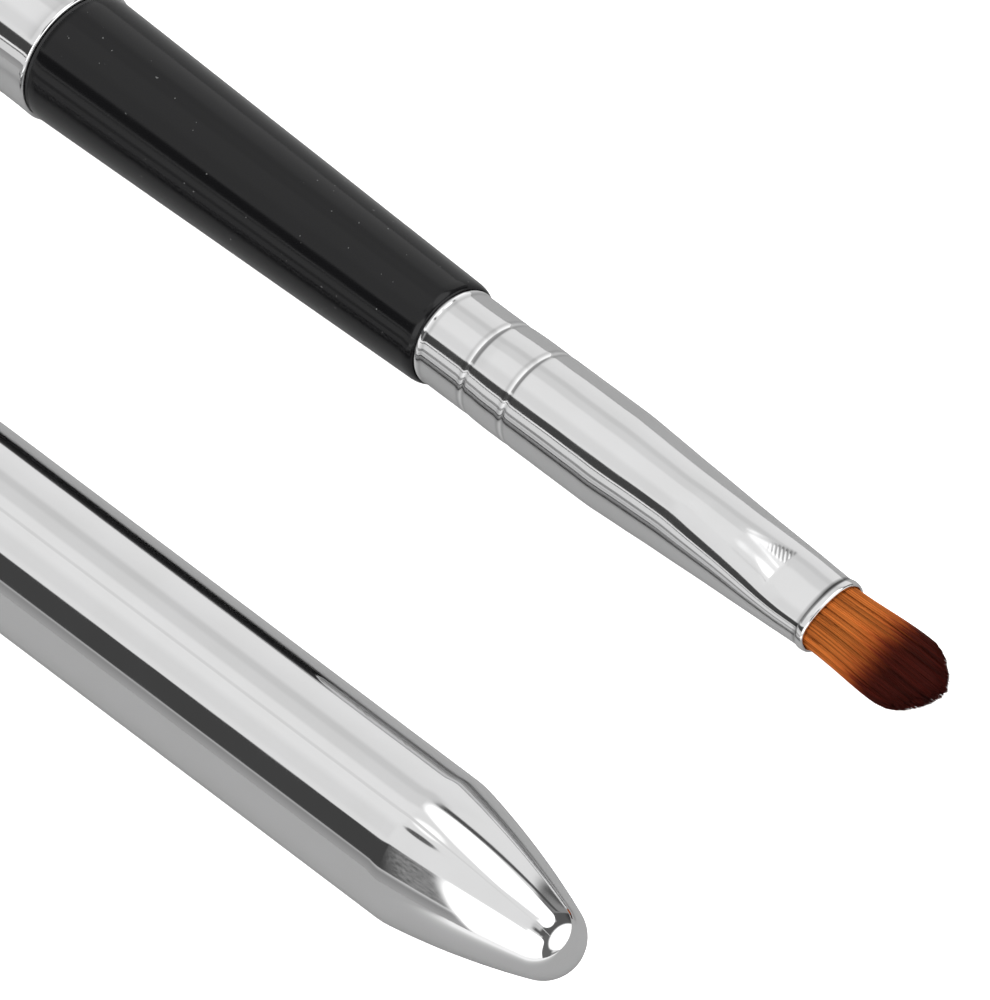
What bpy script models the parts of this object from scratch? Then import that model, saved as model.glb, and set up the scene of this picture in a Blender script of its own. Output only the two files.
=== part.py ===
"""Acrylic nail brush with its pull-off cap lying beside it.

Metres, +X along the brush towards the bristle tip, +Z up. Both pieces lie on the plane z = 0, and the
origin is at the bottom centre of their common box.

Every piece is a loft of rings along its own axis. All rings have the same number of points at the same
angles, so that nested pieces keep an even gap.
"""

import math

import bmesh
import bpy

MM = 0.001

# Rings
SIDES = 32
HALF_STEP = math.pi / SIDES
FLAT = math.cos(HALF_STEP)  # from a ring's points to the middle of its sides
ARC_STEPS = 4
FIT_GAP = 0.05 * MM  # between pieces that touch on the real object

# Driving lengths along the brush
BARREL_LENGTH = 60.0 * MM
GRIP_LENGTH = 37.55 * MM  # with the black ring
FERRULE_LENGTH = 37.35 * MM  # what stands out of the grip
TUFT_LENGTH = 10.6 * MM  # what stands out of the ferrule
BRUSH_LENGTH = BARREL_LENGTH + GRIP_LENGTH + FERRULE_LENGTH + TUFT_LENGTH

# Driving radii
BARREL_RADIUS = 4.92 * MM
LIP_RADIUS = 5.0 * MM
GRIP_REAR_RADIUS = 4.84 * MM
GRIP_FRONT_RADIUS = 3.93 * MM
FERRULE_RADIUS = 3.58 * MM
CAP_RADIUS = 5.65 * MM

# Walls
BARREL_WALL = 0.4 * MM
CAP_WALL = 0.4 * MM
FERRULE_WALL = 0.28 * MM

# Bullet-shaped ends: an arc from the shoulder's slope to the nose's slope, then a round nose
SHOULDER_SLOPE = math.radians(9.0)
NOSE_SLOPE = math.radians(18.5)
NOSE_SHARE = 0.52  # nose radius as a share of the tube's

# The cap's place beside the brush
CAP_LENGTH = 95.0 * MM
CAP_OFFSET = 29.4 * MM  # between the two axes, along Y
CAP_SETBACK = 5.65 * MM  # from the tuft's tip back to the cap's nose, along X

# Stations along X
TIP_X = BRUSH_LENGTH / 2
TAIL_X = -BRUSH_LENGTH / 2
LIP_X = TAIL_X + BARREL_LENGTH
GRIP_EDGE_X = LIP_X + GRIP_LENGTH
MOUTH_X = GRIP_EDGE_X + FERRULE_LENGTH
CAP_NOSE_X = TIP_X - CAP_SETBACK
CAP_MOUTH_X = CAP_NOSE_X - CAP_LENGTH

# Axes in Y and Z: the lip and the cap rest on z = 0, and the common box is centred on y = 0
BRUSH_Y = (CAP_OFFSET + (CAP_RADIUS - LIP_RADIUS) * FLAT) / 2
CAP_Y = BRUSH_Y - CAP_OFFSET
BRUSH_Z = LIP_RADIUS * FLAT
CAP_Z = CAP_RADIUS * FLAT

# Black ring and sleeve
RING_WIDTH = 0.35 * MM
RING_RADIUS = 4.78 * MM
SLEEVE_LENGTH = 12.0 * MM
SLEEVE_BORE = 3.0 * MM

# Core
CORE_RADIUS = SLEEVE_BORE - FIT_GAP
CORE_SPIGOT = 14.0 * MM  # behind the lip
TENON_LENGTH = 11.0 * MM  # in front of the grip's edge

# Grip
GRIP_ROUND = 0.9 * MM  # length of the rounded front end
FERRULE_SOCKET = 3.5 * MM  # how deep the ferrule sits in the grip

# Ferrule: stations measured from the grip's edge
CRIMPS = (4.6 * MM, 8.6 * MM)
CRIMP_HALF = 0.4 * MM
CRIMP_DEPTH = 0.08 * MM
MOUTH_HALF_WIDTH = 2.84 * MM
FERRULE_PROFILE = (  # station and half width
    (-4.0 * MM, FERRULE_RADIUS),
    (5.0 * MM, 3.6 * MM),
    (6.2 * MM, 3.665 * MM),
    (16.5 * MM, 3.695 * MM),
    (22.0 * MM, 3.42 * MM),
    (28.0 * MM, 3.165 * MM),
    (34.0 * MM, 2.95 * MM),
    (FERRULE_LENGTH, MOUTH_HALF_WIDTH),
)
PRESS_START = 24.0 * MM  # where the pressed flats begin
PRESS_FULL = 34.0 * MM  # where they reach their full depth
PRESSED_SHARE = 0.6  # half thickness over half width there
RIM_LENGTH = 0.5 * MM
RIM_STEP = 0.05 * MM
MOUTH_WALL = 0.2 * MM
OVAL_POWER = 2.3  # of the pressed section; 2 is an ellipse

# Tuft: stations measured from the ferrule's mouth
TUFT_HALF_WIDTH = 2.9 * MM
TUFT_THINNING = 0.3  # how much of its thickness it loses by the shoulder
TUFT_SHOULDER = 7.0 * MM  # where the rounded tip starts
TIP_POWER = 1.8  # of the tip's outline; 2 is an ellipse
TIP_STEPS = 6
TUFT_STEPS = 4
ROOT_X = MOUTH_X - 20.0 * MM
ROOT_RADIUS = 2.55 * MM

# Resin and thread around the root
RESIN_LENGTH = 8.6 * MM
RESIN_OVERLAP = 3.2 * MM  # how far the resin reaches over the root
THREAD_LENGTH = 2.4 * MM
THREAD_TURNS = 4
THREAD_RIDGE = 0.08 * MM
THREAD_RADIUS = 2.8 * MM
THREAD_SPACE = 0.6 * MM  # between the resin and the thread

# Friction bush in the cap
BUSH_DEPTH = 7.5 * MM
BUSH_LENGTH = 9.0 * MM
BUSH_RADIUS = CAP_RADIUS - CAP_WALL - FIT_GAP
BUSH_BORE = 4.9 * MM

SHARP_ANGLE = math.radians(30)


def clear_scene():
    for item in list(bpy.data.objects):
        bpy.data.objects.remove(item, do_unlink=True)


def material(name, colour, roughness, metallic=0.0):
    made = bpy.data.materials.new(name)
    made.use_nodes = True
    shader = made.node_tree.nodes["Principled BSDF"]
    shader.inputs["Base Color"].default_value = (*colour, 1.0)
    shader.inputs["Roughness"].default_value = roughness
    shader.inputs["Metallic"].default_value = metallic
    return made


def section(x, half_width, half_thick=None, power=2.0):
    """One ring of a loft: its station, its half sizes along Y and Z, and its squareness."""
    if half_thick is None:
        half_thick = half_width
    return (x, half_width, half_thick, power)


def ring_points(x, half_width, half_thick, power):
    points = []
    for k in range(SIDES):
        angle = (2 * k + 1) * HALF_STEP
        across = math.copysign(abs(math.cos(angle)) ** (2 / power), math.cos(angle))
        up = math.copysign(abs(math.sin(angle)) ** (2 / power), math.sin(angle))
        points.append((x, half_width * across, half_thick * up))
    return points


def add_ring(bm, entry):
    """The ring's vertices, or a single one where the section closes to a point."""
    x, half_width, half_thick, power = entry
    if half_width == 0:
        return [bm.verts.new((x, 0, 0))]
    return [bm.verts.new(point) for point in ring_points(x, half_width, half_thick, power)]


def join_rings(bm, first, second):
    for k in range(SIDES):
        after = (k + 1) % SIDES
        if len(first) == 1:
            bm.faces.new((first[0], second[after], second[k]))
        elif len(second) == 1:
            bm.faces.new((first[k], first[after], second[0]))
        else:
            bm.faces.new((first[k], first[after], second[after], second[k]))


def loft(name, parent, look, sections, closed_loop=False):
    """A closed skin through the sections in turn. A closed loop joins the last to the first, as on a
    tube whose outside runs one way and whose bore runs back. Otherwise both ends are capped."""
    bm = bmesh.new()
    rings = [add_ring(bm, entry) for entry in sections]
    for first, second in zip(rings, rings[1:]):
        join_rings(bm, first, second)
    if closed_loop:
        join_rings(bm, rings[-1], rings[0])
    else:
        for end in (rings[0], rings[-1]):
            if len(end) > 1:
                bm.faces.new(end)
    bmesh.ops.recalc_face_normals(bm, faces=bm.faces)
    mesh = bpy.data.meshes.new(name)
    bm.to_mesh(mesh)
    bm.free()
    mesh.shade_smooth()
    mesh.set_sharp_from_angle(angle=SHARP_ANGLE)
    mesh.materials.append(look)
    made = bpy.data.objects.new(name, mesh)
    made.parent = parent
    bpy.context.scene.collection.objects.link(made)
    return made


def axis_empty(name, y, z):
    made = bpy.data.objects.new(name, None)
    made.location = (0, y, z)
    bpy.context.scene.collection.objects.link(made)
    return made


def bullet(radius, inset):
    """(distance from the nose's tip, radius) pairs from the tip back to the shoulder, with the
    surface moved in by inset."""
    nose = NOSE_SHARE * radius
    pairs = [(inset, 0.0)]
    for k in range(1, ARC_STEPS + 1):
        turn = math.pi / 2 + (NOSE_SLOPE - math.pi / 2) * k / ARC_STEPS
        pairs.append((nose - (nose - inset) * math.sin(turn), (nose - inset) * math.cos(turn)))
    sweep = (radius - nose * math.cos(NOSE_SLOPE)) / (math.cos(SHOULDER_SLOPE) - math.cos(NOSE_SLOPE))
    start = nose * (1 - math.sin(NOSE_SLOPE)) + sweep * math.sin(NOSE_SLOPE)
    centre_r = radius - sweep * math.cos(SHOULDER_SLOPE)
    for k in range(1, ARC_STEPS + 1):
        slope = NOSE_SLOPE + (SHOULDER_SLOPE - NOSE_SLOPE) * k / ARC_STEPS
        reach = sweep - inset
        pairs.append((start - reach * math.sin(slope), centre_r + reach * math.cos(slope)))
    shoulder = start - sweep * math.sin(SHOULDER_SLOPE)
    pairs.append((shoulder + 0.12 * radius, radius - inset))
    return pairs


def barrel_tube(parent, look):
    outside = [section(TAIL_X + d, r) for d, r in bullet(BARREL_RADIUS, 0)]
    outside.append(section(LIP_X - 0.6 * MM, BARREL_RADIUS))
    outside.append(section(LIP_X - 0.35 * MM, LIP_RADIUS))
    outside.append(section(LIP_X - 0.1 * MM, LIP_RADIUS))
    outside.append(section(LIP_X, LIP_RADIUS - 0.1 * MM))
    bore = BARREL_RADIUS - BARREL_WALL
    inside = [section(LIP_X, bore)]
    hollow = [section(TAIL_X + d, r) for d, r in bullet(BARREL_RADIUS, BARREL_WALL)]
    inside.extend(reversed(hollow))
    return loft("barrel_tube", parent, look, outside + inside)


def barrel_sleeve(parent, look):
    outer = BARREL_RADIUS - BARREL_WALL - FIT_GAP
    rear = LIP_X - SLEEVE_LENGTH
    flange = LIP_X + FIT_GAP
    front = LIP_X + RING_WIDTH
    rings = [
        section(rear, SLEEVE_BORE),
        section(rear, outer - 0.3 * MM),
        section(rear + 0.5 * MM, outer),
        section(flange, outer),
        section(flange, RING_RADIUS),
        section(front, RING_RADIUS),
        section(front, SLEEVE_BORE),
    ]
    return loft("barrel_sleeve", parent, look, rings, closed_loop=True)


def grip_shell(parent, look):
    rear = LIP_X + RING_WIDTH + FIT_GAP
    round_start = GRIP_EDGE_X - GRIP_ROUND
    end_radius = FERRULE_RADIUS + 2 * FIT_GAP
    slope = (GRIP_FRONT_RADIUS - GRIP_REAR_RADIUS) / (round_start - rear)
    rings = [section(rear, SLEEVE_BORE), section(rear, GRIP_REAR_RADIUS - 0.15 * MM)]
    rings.append(section(rear + 0.15 * MM, GRIP_REAR_RADIUS + slope * 0.15 * MM))
    for k in range(ARC_STEPS):
        turn = 0.5 * math.pi * k / ARC_STEPS
        x = round_start + GRIP_ROUND * math.sin(turn)
        rings.append(section(x, end_radius + (GRIP_FRONT_RADIUS - end_radius) * math.cos(turn)))
    bore = FERRULE_RADIUS + FIT_GAP
    seat = GRIP_EDGE_X - FERRULE_SOCKET
    rings.append(section(GRIP_EDGE_X, end_radius))
    rings.append(section(GRIP_EDGE_X, bore))
    rings.append(section(seat, bore))
    rings.append(section(seat, SLEEVE_BORE))
    return loft("grip_shell", parent, look, rings, closed_loop=True)


def ferrule_radius(station):
    """Half width of the ferrule's outside at a station, without the crimps."""
    for (start, first), (end, second) in zip(FERRULE_PROFILE, FERRULE_PROFILE[1:]):
        if station <= end:
            return first + (second - first) * (station - start) / (end - start)
    return MOUTH_HALF_WIDTH


def crimp_rings(inset, half):
    """Sections across the two crimp grooves, rear to front, and the swell between them."""
    rings = []
    for centre in CRIMPS:
        for offset, depth in ((-half, 0), (-0.3 * half, CRIMP_DEPTH), (0.3 * half, CRIMP_DEPTH), (half, 0)):
            station = centre + offset
            rings.append(section(GRIP_EDGE_X + station, ferrule_radius(station) - depth - inset))
    swell = FERRULE_PROFILE[2][0]
    rings.insert(len(rings) // 2, section(GRIP_EDGE_X + swell, ferrule_radius(swell) - inset))
    return rings


def handle_core(parent, look):
    step = GRIP_EDGE_X - FERRULE_SOCKET + FIT_GAP
    inset = FERRULE_WALL + FIT_GAP
    tenon = FERRULE_RADIUS - inset
    end = GRIP_EDGE_X + TENON_LENGTH
    rings = [section(LIP_X - CORE_SPIGOT, CORE_RADIUS - 0.4 * MM)]
    rings.append(section(LIP_X - CORE_SPIGOT + 0.4 * MM, CORE_RADIUS))
    rings.append(section(step, CORE_RADIUS))
    rings.append(section(step, tenon))
    rings.extend(crimp_rings(inset, CRIMP_HALF + FIT_GAP))
    rings.append(section(end - 0.3 * MM, tenon))
    rings.append(section(end, tenon - 0.3 * MM))
    return loft("handle_core", parent, look, rings)


def ferrule_size(station):
    """(half width, half thickness, power) of the ferrule's outside at a station from the grip."""
    width = ferrule_radius(station)
    share = min(max((station - PRESS_START) / (PRESS_FULL - PRESS_START), 0.0), 1.0)
    pressed = share * share * (3 - 2 * share)
    thick = width * (1 - (1 - PRESSED_SHARE) * pressed)
    return width, thick, 2.0 + (OVAL_POWER - 2.0) * pressed


def ferrule_stations():
    """The stations of the profile in front of the crimps and behind the mouth."""
    return [station for station, _ in FERRULE_PROFILE[3:-1]]


def ferrule_section(station, inset):
    width, thick, power = ferrule_size(station)
    return section(GRIP_EDGE_X + station, width - inset, thick - inset, power)


def ferrule(parent, look):
    rear = GRIP_EDGE_X - FERRULE_SOCKET + 2 * FIT_GAP
    rim = MOUTH_X - RIM_LENGTH
    outside = [section(rear, FERRULE_RADIUS)]
    outside.extend(crimp_rings(0, CRIMP_HALF))
    outside.extend(ferrule_section(station, 0) for station in ferrule_stations())
    width, thick, power = ferrule_size(FERRULE_LENGTH - RIM_LENGTH)
    outside.append(section(rim, width, thick, power))
    outside.append(section(rim + RIM_STEP, width + RIM_STEP, thick + RIM_STEP, power))
    width, thick, power = ferrule_size(FERRULE_LENGTH)
    outside.append(section(MOUTH_X, width + RIM_STEP, thick + RIM_STEP, power))
    inside = [section(rear, FERRULE_RADIUS - FERRULE_WALL)]
    inside.extend(crimp_rings(FERRULE_WALL, CRIMP_HALF))
    inside.extend(ferrule_section(station, FERRULE_WALL) for station in ferrule_stations())
    inside.append(section(MOUTH_X, width - MOUTH_WALL, thick - MOUTH_WALL, power))
    return loft("ferrule", parent, look, outside + inside[::-1], closed_loop=True)


def ferrule_resin(parent, look):
    front = ROOT_X + RESIN_OVERLAP
    rear = front - RESIN_LENGTH
    socket = ROOT_RADIUS + FIT_GAP
    inset = FERRULE_WALL + FIT_GAP
    rings = [section(rear, FERRULE_RADIUS - inset)]
    covered = [station for station in ferrule_stations() if rear < GRIP_EDGE_X + station < front]
    for station in covered + [front - GRIP_EDGE_X]:
        rings.append(section(GRIP_EDGE_X + station, ferrule_radius(station) - inset))
    rings.append(section(front, socket))
    rings.append(section(ROOT_X - FIT_GAP, socket))
    return loft("ferrule_resin", parent, look, rings)


def root_thread(parent, look):
    """The binding's turns, as one ridged ring."""
    rear = ROOT_X + RESIN_OVERLAP + THREAD_SPACE
    bore = ROOT_RADIUS + FIT_GAP
    pitch = THREAD_LENGTH / THREAD_TURNS
    rings = [section(rear, bore)]
    for k in range(THREAD_TURNS):
        rings.append(section(rear + k * pitch, THREAD_RADIUS - THREAD_RIDGE))
        rings.append(section(rear + (k + 0.5) * pitch, THREAD_RADIUS))
    rings.append(section(rear + THREAD_LENGTH, THREAD_RADIUS - THREAD_RIDGE))
    rings.append(section(rear + THREAD_LENGTH, bore))
    return loft("root_thread", parent, look, rings, closed_loop=True)


def tuft_size(station):
    """(half width, half thickness) of the tuft at a station from the ferrule's mouth."""
    root_width = MOUTH_HALF_WIDTH - MOUTH_WALL - FIT_GAP
    root_thick = PRESSED_SHARE * MOUTH_HALF_WIDTH - MOUTH_WALL - FIT_GAP
    share = min(station / TUFT_SHOULDER, 1.0)
    spread = share * share * (3 - 2 * share)
    width = root_width + (TUFT_HALF_WIDTH - root_width) * spread
    thick = root_thick * (1 - TUFT_THINNING * share)
    if station > TUFT_SHOULDER:
        rounding = (station - TUFT_SHOULDER) / (TUFT_LENGTH - TUFT_SHOULDER)
        close = (1 - rounding ** TIP_POWER) ** (1 / TIP_POWER)
        width *= close
        thick *= close ** 1.2
    return width, thick


def bristle_tuft(parent, look):
    waist = ROOT_X + RESIN_OVERLAP + THREAD_SPACE + THREAD_LENGTH
    rings = [section(ROOT_X, ROOT_RADIUS), section(waist, ROOT_RADIUS)]
    pressed = [station for station in ferrule_stations() if station >= PRESS_START]
    rings.extend(ferrule_section(station, FERRULE_WALL + FIT_GAP) for station in pressed)
    for k in range(TUFT_STEPS + 1):
        station = TUFT_SHOULDER * k / TUFT_STEPS
        width, thick = tuft_size(station)
        rings.append(section(MOUTH_X + station, width, thick, OVAL_POWER))
    for k in range(1, TIP_STEPS):
        turn = 0.5 * math.pi * k / TIP_STEPS
        station = TUFT_SHOULDER + (TUFT_LENGTH - TUFT_SHOULDER) * math.sin(turn)
        width, thick = tuft_size(station)
        rings.append(section(MOUTH_X + station, width, thick, OVAL_POWER))
    rings.append(section(TIP_X, 0.0))
    return loft("bristle_tuft", parent, look, rings)


def cap_shell(parent, look):
    nose = bullet(CAP_RADIUS, 0)
    hollow = bullet(CAP_RADIUS, CAP_WALL)
    outside = [section(CAP_NOSE_X - d, r) for d, r in nose]
    outside.append(section(CAP_MOUTH_X, CAP_RADIUS))
    inside = [section(CAP_MOUTH_X, CAP_RADIUS - CAP_WALL)]
    inside.extend(section(CAP_NOSE_X - d, r) for d, r in reversed(hollow))
    return loft("cap_shell", parent, look, outside + inside)


def cap_friction_bush(parent, look):
    front = CAP_MOUTH_X + BUSH_DEPTH
    back = front + BUSH_LENGTH
    lead = 0.15 * MM
    rings = [
        section(front, BUSH_BORE + lead),
        section(front, BUSH_RADIUS),
        section(back, BUSH_RADIUS),
        section(back, BUSH_BORE + lead),
        section(back - 0.5 * MM, BUSH_BORE),
        section(front + 0.5 * MM, BUSH_BORE),
    ]
    return loft("cap_friction_bush", parent, look, rings, closed_loop=True)


def main():
    clear_scene()
    chrome = material("chrome_barrel", (0.80, 0.80, 0.81), 0.08, metallic=1.0)
    cap_chrome = material("chrome_cap", (0.82, 0.82, 0.83), 0.06, metallic=1.0)
    ferrule_chrome = material("chrome_ferrule", (0.78, 0.78, 0.79), 0.12, metallic=1.0)
    lacquer = material("black_lacquer", (0.012, 0.012, 0.013), 0.22)
    black_plastic = material("black_plastic", (0.015, 0.015, 0.016), 0.5)
    core_plastic = material("core_plastic", (0.55, 0.50, 0.42), 0.6)
    resin = material("resin", (0.55, 0.38, 0.16), 0.3)
    thread = material("thread", (0.75, 0.72, 0.65), 0.9)
    bristle = material("bristle", (0.30, 0.09, 0.03), 0.45)
    bush_plastic = material("bush_plastic", (0.80, 0.80, 0.78), 0.5)
    brush_axis = axis_empty("brush_axis", BRUSH_Y, BRUSH_Z)
    cap_axis = axis_empty("cap_axis", CAP_Y, CAP_Z)
    barrel_tube(brush_axis, chrome)
    barrel_sleeve(brush_axis, black_plastic)
    grip_shell(brush_axis, lacquer)
    handle_core(brush_axis, core_plastic)
    ferrule(brush_axis, ferrule_chrome)
    ferrule_resin(brush_axis, resin)
    root_thread(brush_axis, thread)
    bristle_tuft(brush_axis, bristle)
    cap_shell(cap_axis, cap_chrome)
    cap_friction_bush(cap_axis, bush_plastic)


main()
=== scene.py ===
"""The looks of the acrylic nail brush and its cap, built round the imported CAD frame, in metres."""
import math

import bmesh
import bpy
import numpy as np
from mathutils import Matrix, Vector


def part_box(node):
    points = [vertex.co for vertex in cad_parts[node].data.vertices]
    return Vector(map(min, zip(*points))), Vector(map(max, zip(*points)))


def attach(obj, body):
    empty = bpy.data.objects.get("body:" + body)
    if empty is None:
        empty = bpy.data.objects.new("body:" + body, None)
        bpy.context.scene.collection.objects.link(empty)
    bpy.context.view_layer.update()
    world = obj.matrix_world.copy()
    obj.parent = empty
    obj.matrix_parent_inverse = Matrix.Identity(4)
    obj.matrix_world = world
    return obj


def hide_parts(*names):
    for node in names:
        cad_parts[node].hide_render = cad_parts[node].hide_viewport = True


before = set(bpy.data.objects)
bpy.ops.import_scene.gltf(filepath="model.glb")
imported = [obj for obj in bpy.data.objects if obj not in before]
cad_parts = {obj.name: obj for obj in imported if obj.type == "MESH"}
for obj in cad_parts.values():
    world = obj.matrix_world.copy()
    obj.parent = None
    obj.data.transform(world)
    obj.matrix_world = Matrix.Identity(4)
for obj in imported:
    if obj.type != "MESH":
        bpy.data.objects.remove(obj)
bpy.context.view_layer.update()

MM = 0.001
CAD_SIDES = 32  # sides of each of the CAD's rings
FLAT = math.cos(math.pi / CAD_SIDES)  # from a CAD ring's corners to the middle of its sides
SIDES = 144  # sides of each round ring made here
RING_STEP = 0.7 * MM  # about how far apart a turned piece's rings are on straight stretches
SHARP_ANGLE = 40  # degrees between faces, from which their edge is shaded sharp


# ---------------------------------------------------------------- places read from the frame

def span(node):
    """Lowest and highest X of a node."""
    low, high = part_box(node)
    return low[0], high[0]


def axis_of(node):
    """(y, z) of the axis that a turned node lies along."""
    low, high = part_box(node)
    return (low[1] + high[1]) / 2, (low[2] + high[2]) / 2


def radius_of(node):
    """The largest radius of a turned node."""
    low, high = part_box(node)
    return (high[1] - low[1]) / 2 / FLAT


BRUSH_AXIS = axis_of("barrel_tube")
CAP_AXIS = axis_of("cap_shell")
TAIL_X, LIP_X = span("barrel_tube")
GRIP_REAR_X, GRIP_EDGE_X = span("grip_shell")
MOUTH_X = span("ferrule")[1]
TIP_X = span("bristle_tuft")[1]
CAP_MOUTH_X, CAP_NOSE_X = span("cap_shell")
BUSH_FRONT_X, BUSH_BACK_X = span("cap_friction_bush")

LIP_RADIUS = radius_of("barrel_tube")
LIP_FLARE = 0.08 * MM  # how far the lip stands out from the straight barrel
BARREL_RADIUS = LIP_RADIUS - LIP_FLARE
BARREL_WALL = 0.4 * MM
CAP_RADIUS = radius_of("cap_shell")
CAP_WALL = 0.4 * MM
GRIP_REAR_RADIUS = radius_of("grip_shell")
GRIP_FRONT_RADIUS = 3.93 * MM
FERRULE_RADIUS = 3.58 * MM
FERRULE_WALL = 0.28 * MM
BUSH_RADIUS = radius_of("cap_friction_bush")
INNER_BORE = 3.0 * MM  # of the black ring and the grip, round the handle's core
FIT_GAP = 0.05 * MM
FERRULE_LENGTH = MOUTH_X - GRIP_EDGE_X
TUFT_LENGTH = TIP_X - MOUTH_X


# ---------------------------------------------------------------- meshes

def add_object(name, data):
    made = bpy.data.objects.new(name, data)
    bpy.context.scene.collection.objects.link(made)
    return made


def skin(name, rings, look, closed_loop=False):
    """A closed skin through rings of points, one after another. A ring of one point closes an end."""
    verts, starts = [], []
    for ring in rings:
        starts.append(len(verts))
        verts.extend(tuple(point) for point in ring)
    faces = []
    pairs = list(zip(range(len(rings)), range(1, len(rings))))
    if closed_loop:
        pairs.append((len(rings) - 1, 0))
    for a, b in pairs:
        count = max(len(rings[a]), len(rings[b]))
        for k in range(count):
            after = (k + 1) % count
            if len(rings[a]) == 1:
                faces.append((starts[a], starts[b] + after, starts[b] + k))
            elif len(rings[b]) == 1:
                faces.append((starts[a] + k, starts[a] + after, starts[b]))
            else:
                faces.append((starts[a] + k, starts[a] + after, starts[b] + after, starts[b] + k))
    if not closed_loop:
        for end in (0, len(rings) - 1):
            if len(rings[end]) > 1:
                faces.append(tuple(range(starts[end], starts[end] + len(rings[end]))))
    mesh = bpy.data.meshes.new(name)
    mesh.from_pydata(verts, [], faces)
    bm = bmesh.new()
    bm.from_mesh(mesh)
    bmesh.ops.recalc_face_normals(bm, faces=bm.faces)
    bm.to_mesh(mesh)
    bm.free()
    mesh.shade_smooth()
    mesh.set_sharp_from_angle(angle=math.radians(SHARP_ANGLE))
    mesh.materials.append(look)
    return add_object(name, mesh)


def round_ring(x, radius, axis, wave=None):
    """A round ring about the axis, or one point where the radius is 0."""
    if radius <= 0:
        return [(x, axis[0], axis[1])]
    turn = np.arange(SIDES) * (2 * math.pi / SIDES)
    radii = np.full(SIDES, radius)
    if wave is not None:
        radii = radii + wave(x, turn)
    return np.stack([np.full(SIDES, x), axis[0] + radii * np.cos(turn), axis[1] + radii * np.sin(turn)], 1)


def fuller(wave, power):
    """A sine or cosine pushed outwards by a power below 1, which makes an oval more like a box."""
    return np.sign(wave) * np.abs(wave) ** power


def turned(name, profile, axis, look, closed_loop=False, wave=None):
    """A turned piece from (x, radius) pairs, with extra rings along its long straight stretches."""
    dense = [profile[0]]
    for (x0, r0), (x1, r1) in zip(profile, profile[1:]):
        parts = max(1, int(abs(x1 - x0) / RING_STEP))
        for k in range(1, parts + 1):
            share = k / parts
            dense.append((x0 + (x1 - x0) * share, r0 + (r1 - r0) * share))
    rings = [round_ring(x, r, axis, wave) for x, r in dense]
    return skin(name, rings, look, closed_loop)


RIPPLE_WAVES = 7


def ripple(seed, height, lengths=(5.0, 17.0), lobes=4):
    """A small unevenness of a turned surface: waves along X, with lengths in millimetres, and round it."""
    rng = np.random.default_rng(seed)
    waves = []
    for _ in range(RIPPLE_WAVES):
        length = rng.uniform(*lengths) * MM
        waves.append((2 * math.pi / length, rng.integers(0, lobes + 1), rng.uniform(0, 2 * math.pi)))

    def wave(x, turn):
        return sum(height / RIPPLE_WAVES * np.sin(k * x + m * turn + phase) for k, m, phase in waves)

    return wave


def arc(centre, radius, start, end, steps):
    """Points (x, r) along an arc, by angle in degrees from +X towards +r."""
    turns = [math.radians(start + (end - start) * k / steps) for k in range(steps + 1)]
    return [(centre[0] + radius * math.cos(t), centre[1] + radius * math.sin(t)) for t in turns]


SHOULDER_SLOPE = 9.0  # degrees from the axis, just ahead of the shoulder
NOSE_SLOPE = 18.5  # degrees from the axis, just behind the rounded nose
NOSE_SHARE = 0.52  # the nose's radius over the straight stretch's
SHOULDER_ROUND = 6.0 * MM


def bullet(tip_x, radius, facing, inset=0.0):
    """(x, r) pairs of a bullet-shaped end from its tip back to the straight stretch."""
    nose = NOSE_SHARE * radius
    slope_n, slope_s = math.radians(NOSE_SLOPE), math.radians(SHOULDER_SLOPE)
    drop = SHOULDER_ROUND * (1 - math.cos(slope_s))
    sweep = (radius - drop - nose * math.cos(slope_n)) / (math.cos(slope_s) - math.cos(slope_n))
    start = nose * (1 - math.sin(slope_n)) + sweep * math.sin(slope_n)
    centre_r = radius - drop - sweep * math.cos(slope_s)
    end = start - sweep * math.sin(slope_s) + SHOULDER_ROUND * math.sin(slope_s)
    pairs = [(inset, 0.0)]
    pairs += [(nose - x, r) for x, r in arc((0, 0), nose - inset, 0, 90 - NOSE_SLOPE, 20)[1:]]
    pairs += [(start - x, centre_r + r)
              for x, r in arc((0, 0), sweep - inset, 90 - NOSE_SLOPE, 90 - SHOULDER_SLOPE, 24)[1:]]
    pairs += [(end - x, radius - SHOULDER_ROUND + r)
              for x, r in arc((0, 0), SHOULDER_ROUND - inset, 90 - SHOULDER_SLOPE, 90, 6)[1:]]
    return [(tip_x - facing * d, r) for d, r in pairs]


# ---------------------------------------------------------------- materials

def new_material(name):
    made = bpy.data.materials.new(name)
    made.use_nodes = True
    return made, made.node_tree, made.node_tree.nodes["Principled BSDF"]


def node(tree, kind, **settings):
    made = tree.nodes.new(kind)
    for key, value in settings.items():
        setattr(made, key, value)
    return made


def feed(tree, slot, value):
    """Gives an input a number or a colour, or links another node's output to it."""
    if isinstance(value, bpy.types.NodeSocket):
        tree.links.new(value, slot)
    else:
        slot.default_value = value


def math_node(tree, operation, *values):
    made = node(tree, "ShaderNodeMath", operation=operation)
    for slot, value in zip(made.inputs, values):
        feed(tree, slot, value)
    return made.outputs["Value"]


def map_range(tree, value, start, end, low=0.0, high=1.0, kind="LINEAR"):
    """value, from start to end, mapped to low and high."""
    made = node(tree, "ShaderNodeMapRange", interpolation_type=kind)
    settings = {"Value": value, "From Min": start, "From Max": end, "To Min": low, "To Max": high}
    for name, setting in settings.items():
        feed(tree, made.inputs[name], setting)
    return made.outputs["Result"]


def attribute(tree, name):
    """A value that mark has stored on the mesh."""
    return node(tree, "ShaderNodeAttribute", attribute_name=name).outputs["Fac"]


def scaled(tree, colour, factor):
    made = node(tree, "ShaderNodeVectorMath", operation="SCALE")
    tree.links.new(colour, made.inputs[0])
    tree.links.new(factor, made.inputs["Scale"])
    return made.outputs["Vector"]


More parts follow.
